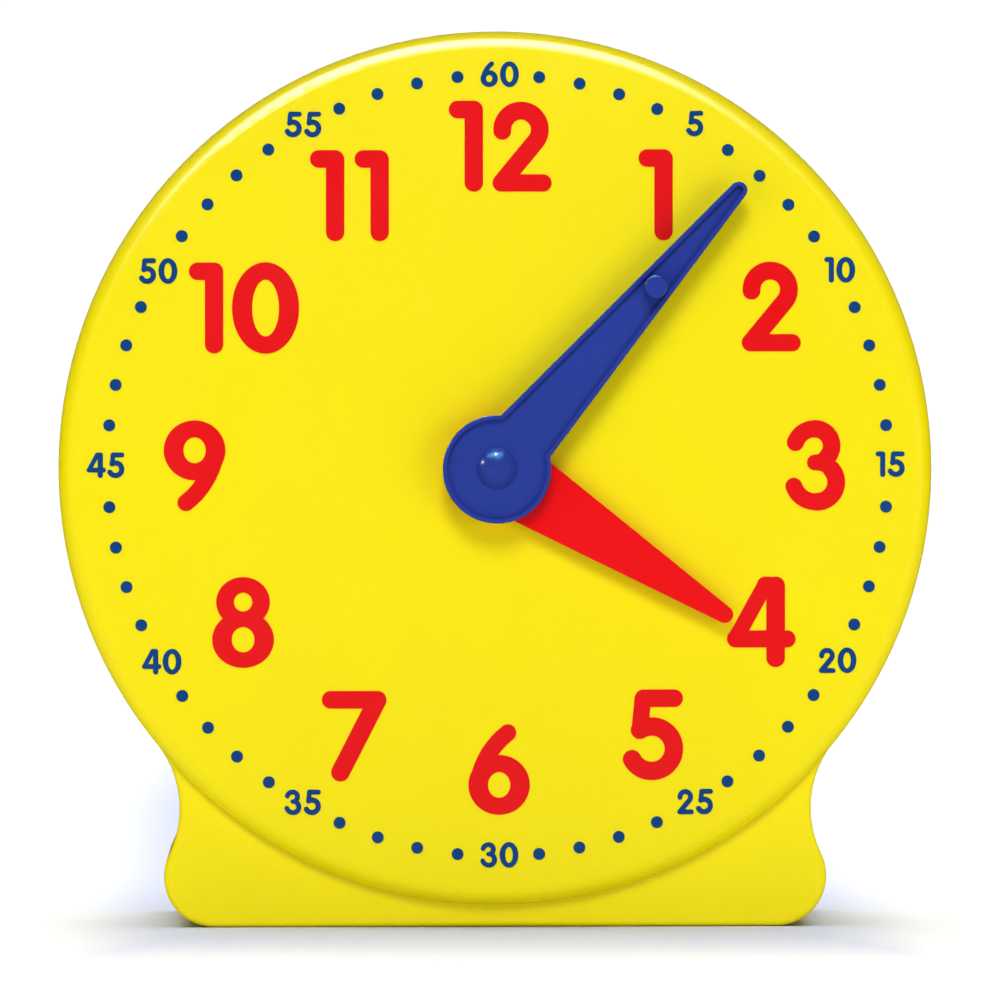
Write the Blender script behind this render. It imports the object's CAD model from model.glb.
# %% [markdown]
# # A student's teaching clock
# The clock is two yellow plastic shells around a small gear train. A child turns the blue
# minute hand by its peg, and hidden gears bring the red hour hand along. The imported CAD
# model already holds every piece at its real size, so this lesson dresses that model. It
# gives each piece its own finish, remakes the few pieces whose soft edges catch the light,
# and photographs the clock on a white table.

import math

import bmesh
import bpy
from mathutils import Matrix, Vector


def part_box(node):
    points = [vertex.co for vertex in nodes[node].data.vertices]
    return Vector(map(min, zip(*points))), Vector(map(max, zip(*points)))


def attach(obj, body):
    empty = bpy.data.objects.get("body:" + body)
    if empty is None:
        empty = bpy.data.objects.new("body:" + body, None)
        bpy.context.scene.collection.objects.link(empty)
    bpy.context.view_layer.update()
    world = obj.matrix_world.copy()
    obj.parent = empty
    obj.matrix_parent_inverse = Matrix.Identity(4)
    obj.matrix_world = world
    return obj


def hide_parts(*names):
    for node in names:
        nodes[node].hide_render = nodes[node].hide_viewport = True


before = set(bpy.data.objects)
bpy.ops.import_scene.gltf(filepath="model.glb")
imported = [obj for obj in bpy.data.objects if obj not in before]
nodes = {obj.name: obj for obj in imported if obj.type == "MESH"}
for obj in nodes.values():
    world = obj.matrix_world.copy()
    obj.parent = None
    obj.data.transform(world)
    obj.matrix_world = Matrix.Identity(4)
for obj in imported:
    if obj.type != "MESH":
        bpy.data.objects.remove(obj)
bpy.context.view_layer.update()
MM = 0.001
print("pieces in the packed model:", len(nodes))

# %% [markdown]
# ## Measures that later cells share
# Depths run towards the reader, along -Y.

# %% Read the shared measures
hub_low, hub_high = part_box("hub_cap")
AXIS_HEIGHT = (hub_low.z + hub_high.z) / 2
CAP_RADIUS = (hub_high.x - hub_low.x) / 2
CAP_SEAT = hub_high.y
CAP_TOP = hub_low.y
print("hands turn at a height of", round(AXIS_HEIGHT / MM, 2), "mm")
print("cap stands", round((CAP_SEAT - CAP_TOP) / MM, 2), "mm above the minute hand's floor")

# %% [markdown]
# ## The camera
# The photograph was taken with a long lens from nearly straight ahead, a little to the left
# of the clock and a little above its middle. The near pieces show that, since the cap and the
# peg sit slightly off the place that a straight view would give them. A camera is easiest to
# match by aiming it at the point of the dial that lies in the middle of the picture.

# %% Set up the camera
camera_data = bpy.data.cameras.new("clock_camera")
camera_data.lens = 233.2
camera_data.sensor_width = 36.0
camera_data.clip_start = 0.01
camera_data.clip_end = 50.0
camera = bpy.data.objects.new("clock_camera", camera_data)
bpy.context.scene.collection.objects.link(camera)
camera.location = (-0.0260, -0.9376, 0.0809)
aim = Vector((0.00063, -0.0144, 0.06091))
camera.rotation_mode = "QUATERNION"
camera.rotation_quaternion = (aim - camera.location).to_track_quat("-Z", "Y")
bpy.context.scene.camera = camera
print("camera is", round((aim - camera.location).length, 3), "m from the dial")

# %% [markdown]
# ## Helpers for shader nodes
# An input of a shader node takes either another node's output or a plain value. The helper
# called feed hides that difference, and the others build on it, so that a chain of nodes
# reads like a sum.

# %% Write the node helpers


def feed(tree, side, socket):
    """Give an input a socket to follow or a plain value to keep."""
    if isinstance(side, bpy.types.NodeSocket):
        tree.links.new(side, socket)
    else:
        socket.default_value = side


def calculate(tree, operation, first, second=0.0):
    """A Math node on two sides."""
    node = tree.nodes.new("ShaderNodeMath")
    node.operation = operation
    feed(tree, first, node.inputs[0])
    feed(tree, second, node.inputs[1])
    return node.outputs["Value"]


def ramp(tree, value, start, end, low=0.0, high=1.0, kind="LINEAR"):
    """A value that runs from low at the start to high at the end."""
    node = tree.nodes.new("ShaderNodeMapRange")
    node.interpolation_type = kind
    sides = {"Value": value, "From Min": start, "From Max": end, "To Min": low, "To Max": high}
    for label, side in sides.items():
        feed(tree, side, node.inputs[label])
    return node.outputs["Result"]


def smooth_ramp(tree, value, start, end):
    """A ramp from 0 to 1 that starts and ends gently."""
    return ramp(tree, value, start, end, kind="SMOOTHSTEP")


def mixed_colour(tree, factor, first, second):
    """The first colour where the factor is 0 and the second where it is 1."""
    node = tree.nodes.new("ShaderNodeMix")
    node.data_type = "RGBA"
    for label, side in {"Factor": factor, "A": first, "B": second}.items():
        feed(tree, side, node.inputs[label])
    return node.outputs["Result"]


print("helpers ready")

# %% [markdown]
# ## The table
# The clock stands on a white table that glows a little, like a light table, wherever the
# clock's own shadow ends, and a little more at its far end, so the picture burns out to white
# around the clock. Close to the foot the table is slightly blue, which cancels the yellow
# light that the dial throws on it. Mirrored in the glossy plastic the table would only grey
# the colours, so it is hidden from mirrors.

# %% Lay the white table
TABLE_RADIUS = 0.55
SHADE_ENDS_BESIDE = (0.040, 0.066)
SHADE_ENDS_BEFORE = (0.018, 0.085)
FAR_TABLE = (0.20, 0.50)
NEAR_TONE = (0.67, 0.72, 0.99, 1.0)
OPEN_TONE = (0.90, 0.92, 0.96, 1.0)
OPEN_GLOW, FAR_GLOW = 0.20, 0.32
table_mesh = bpy.data.meshes.new("table")
table_bm = bmesh.new()
bmesh.ops.create_circle(
    table_bm, cap_ends=True, cap_tris=False, segments=96, radius=TABLE_RADIUS
)
table_bm.to_mesh(table_mesh)
table_bm.free()
table = bpy.data.objects.new("table", table_mesh)
bpy.context.scene.collection.objects.link(table)
print("table laid at z = 0, with a radius of", TABLE_RADIUS, "m")

# %% Paint the table and let it glow
table_paint = bpy.data.materials.new("table_white")
table_paint.use_nodes = True
table_mesh.materials.append(table_paint)
tree = table_paint.node_tree
place = tree.nodes.new("ShaderNodeTexCoord")
split = tree.nodes.new("ShaderNodeSeparateXYZ")
tree.links.new(place.outputs["Object"], split.inputs[0])
sideways = calculate(tree, "ABSOLUTE", split.outputs["X"])
forward = calculate(tree, "MULTIPLY", split.outputs["Y"], -1.0)
beside = smooth_ramp(tree, sideways, *SHADE_ENDS_BESIDE)
before = smooth_ramp(tree, forward, *SHADE_ENDS_BEFORE)
away = calculate(tree, "MAXIMUM", beside, before)
far_back = smooth_ramp(tree, split.outputs["Y"], *FAR_TABLE)
open_glow = calculate(tree, "MULTIPLY", away, OPEN_GLOW)
far_glow = calculate(tree, "MULTIPLY", far_back, FAR_GLOW)
table_looks = {
    "Base Color": mixed_colour(tree, away, NEAR_TONE, OPEN_TONE),
    "Roughness": 1.0,
    "Specular IOR Level": 0.0,
    "Emission Color": (1.0, 1.0, 1.0, 1.0),
    "Emission Strength": calculate(tree, "ADD", open_glow, far_glow),
}
for label, side in table_looks.items():
    feed(tree, side, tree.nodes["Principled BSDF"].inputs[label])
table.visible_glossy = False
print("table shaded near the foot and glowing beyond it")

# %% [markdown]
# ## The light
# One large soft box in front of the clock and above it gives the shape and lays the hands'
# shadows down on the dial. Two weak warm boxes open those shadows from the sides, and a box
# overhead lights only the table. Four more boxes only draw highlights: the pale band on the
# top of the dial, the blue sheen on the hand and the two bright spots on the cap. Light
# linking tells each box which pieces it reaches.

# %% Hang the soft boxes


def soft_box(name, place, target, width, height, power, colour=(1.0, 1.0, 1.0)):
    """A rectangular lamp at a place, turned to face a target."""
    lamp = bpy.data.lights.new(name, "AREA")
    lamp.shape = "RECTANGLE"
    lamp.size = width
    lamp.size_y = height
    lamp.energy = power
    lamp.color = colour
    box = bpy.data.objects.new(name, lamp)
    bpy.context.scene.collection.objects.link(box)
    box.location = place
    box.rotation_mode = "QUATERNION"
    box.rotation_quaternion = (Vector(target) - Vector(place)).to_track_quat("-Z", "Y")
    print(name, "gives", power, "W")
    return box


WARM = (1.0, 0.92, 0.80)
COOL = (0.2, 0.85, 1.0)
middle = (0.0, -0.015, AXIS_HEIGHT)
over_clock = (-0.02, 0.02, 0.0)
overhead_box = soft_box("overhead_box", (-0.02, 0.03, 0.62), over_clock, 1.00, 0.80, 5.5)
key_box = soft_box("key_box", (-0.10, -1.75, 1.66), middle, 0.90, 0.86, 29.4, (0.965, 1.0, 1.0))
right_box = soft_box("right_box", (0.66, -0.72, 0.04), middle, 0.60, 0.40, 2.6, WARM)
left_box = soft_box("left_box", (-0.66, -0.72, 0.04), middle, 0.60, 0.40, 1.9, WARM)
rim_box = soft_box("rim_box", (-0.06, -0.52, 0.60), middle, 0.64, 0.58, 31.0)
sheen_box = soft_box("sheen_box", (-0.06, -0.14, 0.60), middle, 0.60, 0.40, 16.0, COOL)
cap_spot = soft_box("cap_spot", (-0.04, -0.18, 0.61), middle, 0.07, 0.05, 3.2)
left_window = soft_box("left_window", (-0.59, -0.11, 0.33), middle, 0.05, 0.05, 3.0)
for box in (key_box, right_box, left_box):
    box.visible_glossy = False
for box in (rim_box, sheen_box, cap_spot, left_window):
    box.visible_diffuse = False

# %% Choose what each box lights


def light_only(name, boxes, receivers, state="INCLUDE"):
    """Let some boxes light only the receivers, or everything but them."""
    group = bpy.data.collections.new(name)
    for piece in receivers:
        group.objects.link(piece)
    for entry in group.collection_objects:
        entry.light_linking.link_state = state
    for box in boxes:
        box.light_linking.receiver_collection = group
    print(name, "holds", len(receivers), "objects for", len(boxes), "boxes")


shells = [nodes["front_case"], nodes["rear_case"]]
light_only("table_only", [overhead_box], [table])
light_only("all_but_table", [key_box, right_box, left_box], [table], "EXCLUDE")
light_only("shells_only", [rim_box], shells)
light_only("all_but_shells", [sheen_box, cap_spot, left_window], [table] + shells, "EXCLUDE")

# %% [markdown]
# ## The sky
# The sky gives a weak even light that grows with height. It is darker towards the reader,
# because a glossy dial that mirrors white looks pale. The camera itself sees plain white.

# %% Paint the sky
SKY_STRENGTH = 0.30
READER_SIDE = 0.12
BACKDROP_STRENGTH = 1.05
sky = bpy.data.worlds.new("studio_sky")
bpy.context.scene.world = sky
sky.use_nodes = True
tree = sky.node_tree
tree.nodes.clear()
direction = tree.nodes.new("ShaderNodeTexCoord")
split = tree.nodes.new("ShaderNodeSeparateXYZ")
tree.links.new(direction.outputs["Generated"], split.inputs[0])
upward = ramp(tree, split.outputs["Z"], -0.02, 0.45, 0.0, SKY_STRENGTH)
behind = ramp(tree, split.outputs["Y"], -0.75, 0.10, READER_SIDE, 1.0)
lit = tree.nodes.new("ShaderNodeBackground")
feed(tree, calculate(tree, "MULTIPLY", upward, behind), lit.inputs["Strength"])
seen = tree.nodes.new("ShaderNodeBackground")
seen.inputs["Color"].default_value = (1.0, 1.0, 1.0, 1.0)
seen.inputs["Strength"].default_value = BACKDROP_STRENGTH
ray = tree.nodes.new("ShaderNodeLightPath")
choose = tree.nodes.new("ShaderNodeMixShader")
sky_out = tree.nodes.new("ShaderNodeOutputWorld")
tree.links.new(ray.outputs["Is Camera Ray"], choose.inputs["Fac"])
tree.links.new(lit.outputs[0], choose.inputs[1])
tree.links.new(seen.outputs[0], choose.inputs[2])
tree.links.new(choose.outputs[0], sky_out.inputs["Surface"])
bpy.context.scene.view_settings.view_transform = "Standard"
print("sky painted, dark towards the reader")

# %% [markdown]
# ## Shared effects
# Every moulded piece shows the same three things close up: pigment that isn't perfectly even,
# a skin copied from the steel of the mould, and a haze where hands have rubbed. Each one is
# a node group with named inputs, built once, so that a finish only has to say how strong it
# wants them. They read Object coordinates in metres, so a scale of 1000 is about 1 mm.

# %% Build the pigment group


def new_group(name, inputs, outputs):
    """An empty shader node group with float inputs and the outputs that are asked for."""
    group = bpy.data.node_groups.new(name, "ShaderNodeTree")
    for label, kind, value in inputs:
        socket = group.interface.new_socket(label, in_out="INPUT", socket_type=kind)
        socket.default_value = value
    for label, kind in outputs:
        group.interface.new_socket(label, in_out="OUTPUT", socket_type=kind)
    entry = group.nodes.new("NodeGroupInput")
    leave = group.nodes.new("NodeGroupOutput")
    return group, entry, leave


def noise(tree, coordinates, scale, detail, roughness):
    """A three dimensional noise that reads the coordinates."""
    texture = tree.nodes.new("ShaderNodeTexNoise")
    sides = {"Vector": coordinates, "Scale": scale, "Detail": detail, "Roughness": roughness}
    for label, side in sides.items():
        feed(tree, side, texture.inputs[label])
    return texture.outputs["Fac"]


COLOUR, VALUE = "NodeSocketColor", "NodeSocketFloat"
CLOUD_SHARE = 0.75
pigment, entry, leave = new_group(
    "pigment_drift",
    [
        ("Light", COLOUR, (1, 1, 1, 1)),
        ("Deep", COLOUR, (0, 0, 0, 1)),
        ("Cloud Scale", VALUE, 40.0),
        ("Speck Scale", VALUE, 2500.0),
    ],
    [("Color", COLOUR)],
)
place = pigment.nodes.new("ShaderNodeTexCoord").outputs["Object"]
clouds = noise(pigment, place, entry.outputs["Cloud Scale"], 2.0, 0.5)
specks = noise(pigment, place, entry.outputs["Speck Scale"], 1.0, 0.5)
drift = calculate(
    pigment, "ADD",
    calculate(pigment, "MULTIPLY", clouds, CLOUD_SHARE),
    calculate(pigment, "MULTIPLY", specks, 1.0 - CLOUD_SHARE),
)
drift = ramp(pigment, drift, 0.3, 0.7)
blend = mixed_colour(pigment, drift, entry.outputs["Deep"], entry.outputs["Light"])
pigment.links.new(blend, leave.inputs["Color"])
print("built", pigment.name)

# %% Build the mould skin group
skin, entry, leave = new_group(
    "mould_skin",
    [
        ("Grain Scale", VALUE, 3000.0),
        ("Grain Height", VALUE, 0.000002),
        ("Ripple Scale", VALUE, 45.0),
        ("Ripple Height", VALUE, 0.00001),
    ],
    [("Normal", "NodeSocketVector")],
)
place = skin.nodes.new("ShaderNodeTexCoord").outputs["Object"]
grain = noise(skin, place, entry.outputs["Grain Scale"], 2.0, 0.6)
ripple = noise(skin, place, entry.outputs["Ripple Scale"], 1.0, 0.4)
grain = calculate(skin, "MULTIPLY", grain, entry.outputs["Grain Height"])
ripple = calculate(skin, "MULTIPLY", ripple, entry.outputs["Ripple Height"])
bump = skin.nodes.new("ShaderNodeBump")
bump.inputs["Strength"].default_value = 1.0
bump.inputs["Distance"].default_value = 1.0
skin.links.new(calculate(skin, "ADD", grain, ripple), bump.inputs["Height"])
skin.links.new(bump.outputs["Normal"], leave.inputs["Normal"])
print("built", skin.name)

# %% Build the handling haze group
haze, entry, leave = new_group(
    "handling_haze",
    [("Smooth", VALUE, 0.25), ("Rubbed", VALUE, 0.4), ("Patch Scale", VALUE, 60.0)],
    [("Roughness", VALUE)],
)
place = haze.nodes.new("ShaderNodeTexCoord").outputs["Object"]
patches = noise(haze, place, entry.outputs["Patch Scale"], 4.0, 0.6)
stretched = haze.nodes.new("ShaderNodeMapping")
stretched.inputs["Scale"].default_value = (1.0, 1.0, 9.0)
stretched.inputs["Rotation"].default_value = (0.0, 0.5, 0.0)
haze.links.new(place, stretched.inputs["Vector"])
scuffs = noise(haze, stretched.outputs["Vector"], 400.0, 6.0, 0.7)
worn = calculate(haze, "MULTIPLY", patches, scuffs)
rubbed = ramp(haze, worn, 0.12, 0.42, entry.outputs["Smooth"], entry.outputs["Rubbed"])
haze.links.new(rubbed, leave.inputs["Roughness"])
print("built", haze.name)

# %% [markdown]
# ## Finishes
# Colours are written as they look on a screen, 0 to 255, and turned into the linear values
# that the shader wants. A moulded finish is one Principled shader with the three shared
# effects plugged in. The gloss itself, the specular level, is the same all over a piece, so
# it is set straight on the shader.

# %% Make a moulded finish


def linear(red, green, blue):
    """Screen colour in 0 to 255 as the shader's linear colour."""
    channels = [part / 255 for part in (red, green, blue)]
    curved = [c / 12.92 if c <= 0.04045 else ((c + 0.055) / 1.055) ** 2.4 for c in channels]
    return (*curved, 1.0)


def place_group(tree, group, **values):
    """A group node in a material, with plain numbers or colours on its inputs."""
    node = tree.nodes.new("ShaderNodeGroup")
    node.node_tree = group
    for label, value in values.items():
        node.inputs[label.replace("_", " ")].default_value = value
    return node


def moulded(name, light, deep, smooth, rubbed, gloss, clouds=40.0):
    """A moulded or printed plastic finish with the three shared effects."""
    finish = bpy.data.materials.new(name)
    finish.use_nodes = True
    tree = finish.node_tree
    shader = tree.nodes["Principled BSDF"]
    colour = place_group(tree, pigment, Light=light, Deep=deep, Cloud_Scale=clouds)
    surface = place_group(tree, skin)
    rub = place_group(tree, haze, Smooth=smooth, Rubbed=rubbed)
    tree.links.new(colour.outputs["Color"], shader.inputs["Base Color"])
    tree.links.new(rub.outputs["Roughness"], shader.inputs["Roughness"])
    tree.links.new(surface.outputs["Normal"], shader.inputs["Normal"])
    shader.inputs["Specular IOR Level"].default_value = gloss
    print("finish", name)
    return finish


case_yellow = moulded("case_yellow", linear(250, 232, 0), linear(248, 229, 0), 0.24, 0.28, 0.3)
hand_red = moulded("hand_red", linear(240, 6, 14), linear(237, 5, 12), 0.28, 0.34, 0.3)
hand_blue = moulded("hand_blue", linear(45, 64, 154), linear(42, 60, 149), 0.20, 0.24, 0.15)
ink_red = moulded("ink_red", linear(234, 6, 14), linear(231, 5, 12), 0.32, 0.45, 0.25, clouds=90.0)
ink_blue = moulded("ink_blue", linear(10, 68, 132), linear(8, 60, 124), 0.32, 0.45, 0.2, clouds=90.0)
gear_white = moulded("gear_white", linear(232, 230, 220), linear(222, 219, 206), 0.38, 0.50, 0.4)
bridge_grey = moulded("bridge_grey", linear(150, 152, 156), linear(138, 140, 146), 0.45, 0.6, 0.4)

# %% [markdown]
# ## Steel
# The screws, the axle and the spring washer are plated steel. Plating is a metal whose
# brightness wanders a little, with fine marks left by the tool that turned or rolled it. The
# marks are a noise that is squeezed along one axis, so it reads as fine lines.

# %% Make the steel finish
steel = bpy.data.materials.new("plated_steel")
steel.use_nodes = True
tree = steel.node_tree
tone = place_group(
    tree, pigment, Light=linear(206, 208, 212), Deep=linear(180, 182, 188), Cloud_Scale=300.0
)
squeeze = tree.nodes.new("ShaderNodeMapping")
squeeze.inputs["Scale"].default_value = (1.0, 12.0, 1.0)
place = tree.nodes.new("ShaderNodeTexCoord").outputs["Object"]
tree.links.new(place, squeeze.inputs["Vector"])
marks = noise(tree, squeeze.outputs["Vector"], 2500.0, 3.0, 0.6)
marks_bump = tree.nodes.new("ShaderNodeBump")
marks_bump.inputs["Distance"].default_value = 0.00001
tree.links.new(marks, marks_bump.inputs["Height"])
steel_looks = {
    "Metallic": 1.0,
    "Base Color": tone.outputs["Color"],
    "Roughness": ramp(tree, marks, 0.0, 1.0, 0.22, 0.42),
    "Normal": marks_bump.outputs["Normal"],
}
for label, side in steel_looks.items():
    feed(tree, side, tree.nodes["Principled BSDF"].inputs[label])
print("finish", steel.name)

# %% [markdown]
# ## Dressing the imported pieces
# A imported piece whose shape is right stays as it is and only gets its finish. That is true of
# both shells, the printing and the whole gear train.

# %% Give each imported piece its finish
finishes = {
    "front_case": case_yellow,
    "rear_case": case_yellow,
    "case_screws": steel,
    "dial_bush": gear_white,
    "gear_bridge": bridge_grey,
    "bridge_screws": steel,
    "idler_axle": steel,
    "idler_gear": gear_white,
    "hour_wheel": gear_white,
    "minute_arbor": gear_white,
    "friction_spring": steel,
    "thrust_washer": gear_white,
    "hand_spacer": gear_white,
    "hour_hand": hand_red,
    "minute_hand": hand_blue,
    "hand_screw": steel,
    "hub_cap": hand_blue,
    "hour_numerals": ink_red,
    "minute_numerals": ink_blue,
    "minute_dots": ink_blue,
}
for name, finish in finishes.items():
    slots = nodes[name].data.materials
    slots.clear()
    slots.append(finish)
print("dressed", len(finishes), "of", len(nodes), "packed pieces")

# %% [markdown]
# ## The hands
# The real minute hand is a shallow channel with a raised rim, and every edge of it is a little
# round, because plastic never fills a mould's corners sharply. Those roundings draw the thin
# bright lines along the rim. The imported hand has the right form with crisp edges, so a copy
# of it is joined up, cleaned to flat faces, and given a small bevel on every crisp edge. The
# flat hour hand is treated the same way, with a smaller bevel.

# %% Round the hands' edges
WELD = 0.5e-6
FLAT_TURN = math.radians(1.0)
CRISP_TURN = math.radians(40.0)


def softened(node, name, width, segments, finish, body):
    """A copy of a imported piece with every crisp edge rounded."""
    shape = bmesh.new()
    shape.from_mesh(nodes[node].data)
    bmesh.ops.remove_doubles(shape, verts=shape.verts, dist=WELD)
    bmesh.ops.dissolve_limit(
        shape, angle_limit=FLAT_TURN, verts=shape.verts, edges=shape.edges
    )
    crisp = [
        edge for edge in shape.edges
        if len(edge.link_faces) == 2 and edge.calc_face_angle() > CRISP_TURN
    ]
    bmesh.ops.bevel(
        shape, geom=crisp, offset=width, offset_type="OFFSET", affect="EDGES",
        segments=segments, profile=0.5, material=-1, clamp_overlap=True,
    )
    bmesh.ops.recalc_face_normals(shape, faces=shape.faces)
    for face in shape.faces:
        face.smooth = True
    mesh = bpy.data.meshes.new(name)
    shape.to_mesh(mesh)
    shape.free()
    mesh.materials.append(finish)
    piece = bpy.data.objects.new(name, mesh)
    bpy.context.scene.collection.objects.link(piece)
    weighted = piece.modifiers.new("even_shading", "WEIGHTED_NORMAL")
    weighted.keep_sharp = True
    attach(piece, body)
    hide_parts(node)
    print(name, "has", len(mesh.polygons), "faces after rounding", len(crisp), "edges")


softened(
    "minute_hand", "minute_hand_moulding", 0.28 * MM, 5, hand_blue, "minute_works"
)
softened(
    "hour_hand", "hour_hand_moulding", 0.08 * MM, 2, hand_red, "hour_works"
)

# %% [markdown]
# ## The cap
# The blue cap is a low dome, a slice of a ball. Its two bright spots need a finer surface than
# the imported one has. A shape that is the same all the way round is a profile spun about its
# axis. Half of the profile is enough: out along the seat, up over the dome and to its middle.

# %% Spin the cap
DOME_RINGS = 24
DOME_SECTORS = 72
SEAT_BAND = 1.0 * MM
SHARP_TURN = math.radians(30.0)
cap_bm = bmesh.new()
dome_height = CAP_SEAT - CAP_TOP
outline = [(0.0, 0.0), (CAP_RADIUS - SEAT_BAND, 0.0), (CAP_RADIUS, 0.0)]
ball_radius = (CAP_RADIUS**2 + dome_height**2) / (2 * dome_height)
edge_turn = math.asin(CAP_RADIUS / ball_radius)
for ring in range(1, DOME_RINGS + 1):
    turn = edge_turn * (1 - ring / DOME_RINGS)
    lift = ball_radius * (math.cos(turn) - math.cos(edge_turn))
    outline.append((ball_radius * math.sin(turn), lift))
corners = [cap_bm.verts.new((reach, CAP_SEAT - lift, AXIS_HEIGHT)) for reach, lift in outline]
profile = [cap_bm.edges.new(pair) for pair in zip(corners, corners[1:])]
bmesh.ops.spin(
    cap_bm, geom=corners + profile, cent=(0, 0, AXIS_HEIGHT), axis=(0, 1, 0),
    angle=math.tau, steps=DOME_SECTORS, use_merge=True,
)
bmesh.ops.remove_doubles(cap_bm, verts=cap_bm.verts, dist=1e-6)
bmesh.ops.recalc_face_normals(cap_bm, faces=cap_bm.faces)
for face in cap_bm.faces:
    face.smooth = True
for edge in cap_bm.edges:
    edge.smooth = edge.calc_face_angle(0.0) < SHARP_TURN
print("cap's edge meets the hand at", round(math.degrees(edge_turn)), "degrees")
cap_mesh = bpy.data.meshes.new("hub_cap_dome")
cap_bm.to_mesh(cap_mesh)
cap_bm.free()
cap_mesh.materials.append(hand_blue)
hub_cap = bpy.data.objects.new("hub_cap_dome", cap_mesh)
bpy.context.scene.collection.objects.link(hub_cap)
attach(hub_cap, "minute_works")
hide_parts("hub_cap")
print("cap has", len(cap_mesh.polygons), "faces")
